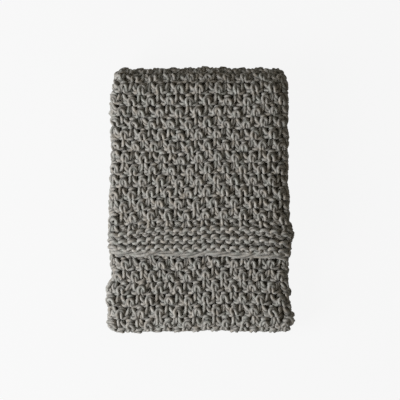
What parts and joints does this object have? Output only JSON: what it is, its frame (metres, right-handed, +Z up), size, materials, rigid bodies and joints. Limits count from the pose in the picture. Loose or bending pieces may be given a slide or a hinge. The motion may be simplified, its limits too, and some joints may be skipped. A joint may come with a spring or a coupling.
{
  "type": "folded knit throw blanket",
  "caption": "Chunky double moss knit throw with garter borders, folded in three across and lengthways like a letter, with a shorter flap on top.",
  "frame": {"origin": "on the floor under the middle of the folded pack", "axes": "+X across the pack, +Y along it towards the back fold that the flap leaves from, +Z up"},
  "size_m": [0.4544, 0.6363, 0.1443],
  "materials": {
    "knit": "matt heather grey wool yarn, loosely twisted"
  },
  "bodies": {
    "root": {"blanket": "knit"}
  },
  "joints": []
}
